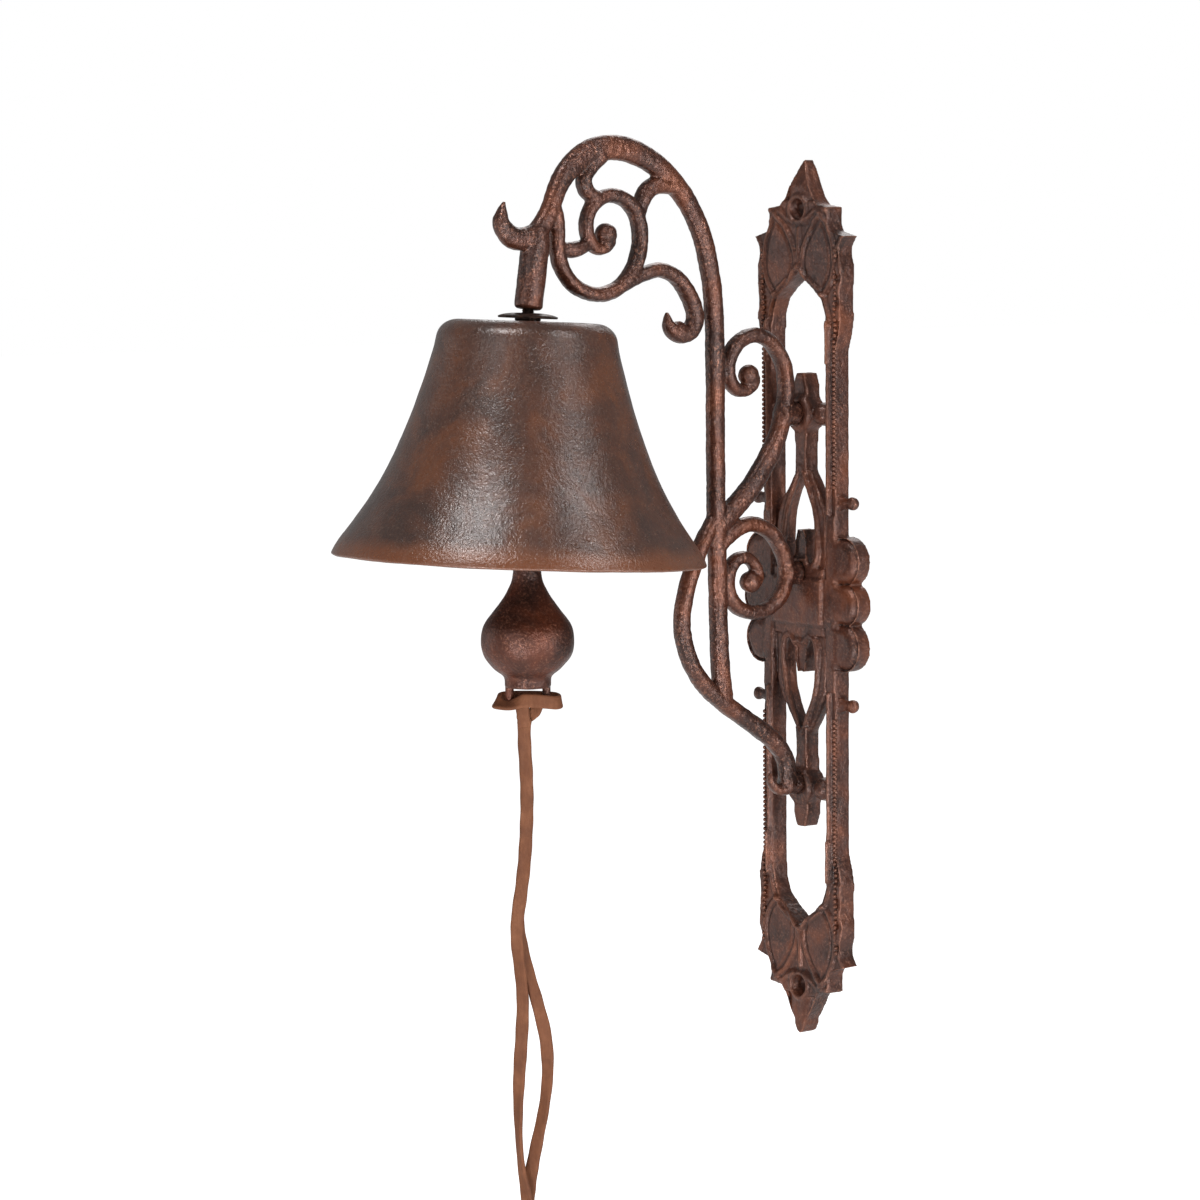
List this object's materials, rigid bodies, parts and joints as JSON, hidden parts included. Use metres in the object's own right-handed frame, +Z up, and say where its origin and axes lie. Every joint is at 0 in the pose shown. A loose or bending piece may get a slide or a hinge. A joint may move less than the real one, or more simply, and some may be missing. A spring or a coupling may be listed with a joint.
{
  "type": "wall mounted bell",
  "caption": "Cast iron bell hung from a scrolled arm on an openwork wall plate, rung by pulling a leather thong on its clapper.",
  "frame": {"origin": "centre of the wall plate's flat back, in the plane of the wall", "axes": "+Y is the back's outward normal, into the wall, so the bell stands out towards -Y; +Z is up; +X completes the frame"},
  "size_m": [0.15, 0.2287, 0.4561],
  "materials": {
    "brown_iron": "antique brown and copper, slightly rough",
    "dark_steel": "dark, dull",
    "brown_leather": "matt brown lace"
  },
  "bodies": {
    "bracket": {"wall_plate": "brown_iron", "arm": "brown_iron", "arm_screw_upper": "dark_steel", "arm_screw_lower": "dark_steel", "arm_washer_upper": "dark_steel", "arm_washer_lower": "dark_steel", "eye_bolt": "dark_steel", "crown_washer": "dark_steel", "crown_collar": "dark_steel", "inner_washer": "dark_steel", "inner_nut": "dark_steel", "lock_nut": "dark_steel"},
    "bell": {"bell": "brown_iron"},
    "link": {"clapper_link": "dark_steel"},
    "clapper": {"clapper_rod": "dark_steel", "clapper_ball": "brown_iron"},
    "thong": {"thong_hitch": "brown_leather", "thong_strand_left": "brown_leather", "thong_strand_right": "brown_leather", "thong_knot": "brown_leather"}
  },
  "joints": [
    {"name": "bell_turn", "type": "hinge", "parent": "bracket", "child": "bell", "pos_m": [0, -0.14858, 0.12041], "axis": [0, 0.0558, 0.9984], "continuous": true},
    {"name": "link_swing", "type": "hinge", "parent": "bracket", "child": "link", "pos_m": [0, -0.15002, 0.09455], "axis": [1, 0, 0], "range_deg": [-12, 12]},
    {"name": "clapper_swing", "type": "hinge", "parent": "link", "child": "clapper", "pos_m": [0, -0.15002, 0.08565], "axis": [0, 1, 0], "range_deg": [-32, 32]},
    {"name": "thong_swing", "type": "hinge", "parent": "clapper", "child": "thong", "pos_m": [0, -0.15002, -0.032], "axis": [0.6018, 0.7986, 0], "range_deg": [-45, 45]}
  ]
}
